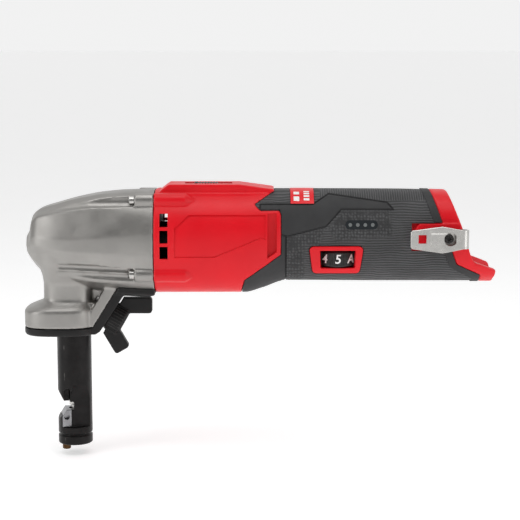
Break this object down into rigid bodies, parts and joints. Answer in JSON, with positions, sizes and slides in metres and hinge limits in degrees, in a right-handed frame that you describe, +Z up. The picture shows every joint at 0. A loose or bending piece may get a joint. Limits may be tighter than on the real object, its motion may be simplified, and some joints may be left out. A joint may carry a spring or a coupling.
{
  "type": "cordless sheet-metal nibbler",
  "caption": "Cordless nibbler: cast gear head with a swivelling die holder and punch, wing clamp, red and grey handle housing with speed dial, belt clip and open battery bay.",
  "frame": {"origin": "on the punch axis, at the flat centre of the die holder's foot", "axes": "+X from the cutting head towards the battery end, +Z up along the punch axis, +Y across the tool towards its right side"},
  "size_m": [0.3042, 0.0665, 0.1776],
  "materials": {
    "cast_metal": "painted die casting, satin",
    "red_plastic": "moulded plastic, satin gloss",
    "grip_rubber": "soft overmould, textured",
    "black_plastic": "moulded plastic, matt",
    "black_steel": "blackened steel",
    "bare_steel": "bare steel, satin",
    "gear_steel": "hardened steel, oiled",
    "bronze": "bearing bronze",
    "copper": "enamelled copper wire",
    "board": "printed circuit board",
    "lens": "smoked lens"
  },
  "bodies": {
    "housing": {"gear_case": "cast_metal", "lower_cover": "black_plastic", "case_screw_1": "bare_steel", "case_screw_2": "bare_steel", "case_screw_3": "bare_steel", "case_screw_4": "bare_steel", "ram_bush": "bronze", "front_crank_bearing": "bare_steel", "rear_crank_bearing": "bare_steel", "ring_gear": "gear_steel", "motor_stator": "gear_steel", "motor_windings": "copper", "motor_plate": "black_plastic", "front_motor_bearing": "bare_steel", "rear_motor_bearing": "bare_steel", "housing_left": "red_plastic", "housing_right": "red_plastic", "grip_left": "grip_rubber", "grip_right": "grip_rubber", "battery_collar": "grip_rubber", "top_badge": "red_plastic", "housing_screw_1": "black_steel", "housing_screw_2": "black_steel", "housing_screw_3": "black_steel", "housing_screw_4": "black_steel", "dial_bezel": "red_plastic", "speed_control": "black_plastic", "charge_gauge": "lens", "switch_module": "black_plastic", "control_board": "board", "terminal_block": "black_plastic", "contact_1": "bronze", "contact_2": "bronze", "contact_3": "bronze", "belt_clip": "bare_steel", "clip_screw": "black_steel"},
    "rotor": {"rotor_shaft": "gear_steel", "rotor_core": "black_steel", "cooling_fan": "black_plastic"},
    "crank": {"crankshaft": "gear_steel", "planet_pin_1": "bare_steel", "planet_pin_2": "bare_steel", "planet_pin_3": "bare_steel"},
    "roller": {"crank_roller": "bare_steel"},
    "planet_1": {"planet_gear_1": "gear_steel"},
    "planet_2": {"planet_gear_2": "gear_steel"},
    "planet_3": {"planet_gear_3": "gear_steel"},
    "ram": {"ram": "bare_steel"},
    "die": {"die_holder": "black_steel", "die_insert": "bare_steel", "die_screw": "bronze", "snap_ring": "bare_steel"},
    "punch": {"punch": "bare_steel"},
    "clamp": {"wing_lever": "black_plastic", "clamp_screw": "bare_steel"},
    "dial": {"speed_dial": "black_plastic"},
    "switch": {"slide_switch": "black_plastic", "switch_rod": "black_plastic"}
  },
  "joints": [
    {"name": "rotor_spin", "type": "hinge", "parent": "housing", "child": "rotor", "pos_m": [0.09, 0, 0.1353], "axis": [1, 0, 0], "continuous": true},
    {"name": "crank_spin", "type": "hinge", "parent": "housing", "child": "crank", "pos_m": [0.03, 0, 0.1353], "axis": [1, 0, 0], "continuous": true},
    {"name": "planet_1_spin", "type": "hinge", "parent": "crank", "child": "planet_1", "pos_m": [0.048, 0, 0.14805], "axis": [1, 0, 0], "continuous": true},
    {"name": "planet_2_spin", "type": "hinge", "parent": "crank", "child": "planet_2", "pos_m": [0.048, -0.01104, 0.12893], "axis": [1, 0, 0], "continuous": true},
    {"name": "planet_3_spin", "type": "hinge", "parent": "crank", "child": "planet_3", "pos_m": [0.048, 0.01104, 0.12893], "axis": [1, 0, 0], "continuous": true},
    {"name": "roller_spin", "type": "hinge", "parent": "crank", "child": "roller", "pos_m": [0, 0, 0.1378], "axis": [1, 0, 0], "continuous": true},
    {"name": "ram_slide", "type": "slide", "parent": "housing", "child": "ram", "axis": [0, 0, 1], "range_m": [-0.005, 0]},
    {"name": "die_turn", "type": "hinge", "parent": "housing", "child": "die", "pos_m": [0, 0, 0.05], "axis": [0, 0, 1], "continuous": true},
    {"name": "punch_slide", "type": "slide", "parent": "die", "child": "punch", "axis": [0, 0, 1], "range_m": [-0.005, 0]},
    {"name": "clamp_turn", "type": "hinge", "parent": "housing", "child": "clamp", "pos_m": [0.0239, 0, 0.0856], "axis": [0.866, 0, -0.5], "range_deg": [0, 180]},
    {"name": "dial_turn", "type": "hinge", "parent": "housing", "child": "dial", "pos_m": [0.1715, -0.0108, 0.1253], "axis": [0, 0, 1], "range_deg": [-40, 160]},
    {"name": "switch_slide", "type": "slide", "parent": "housing", "child": "switch", "axis": [-1, 0, 0], "range_m": [0, 0.005]}
  ],
  "couplings": [
    {"joint": "crank_spin", "follows": "rotor_spin", "ratio": 0.2},
    {"joint": "planet_1_spin", "follows": "rotor_spin", "ratio": -0.53333},
    {"joint": "planet_2_spin", "follows": "rotor_spin", "ratio": -0.53333},
    {"joint": "planet_3_spin", "follows": "rotor_spin", "ratio": -0.53333},
    {"joint": "punch_slide", "follows": "ram_slide", "ratio": 1}
  ]
}
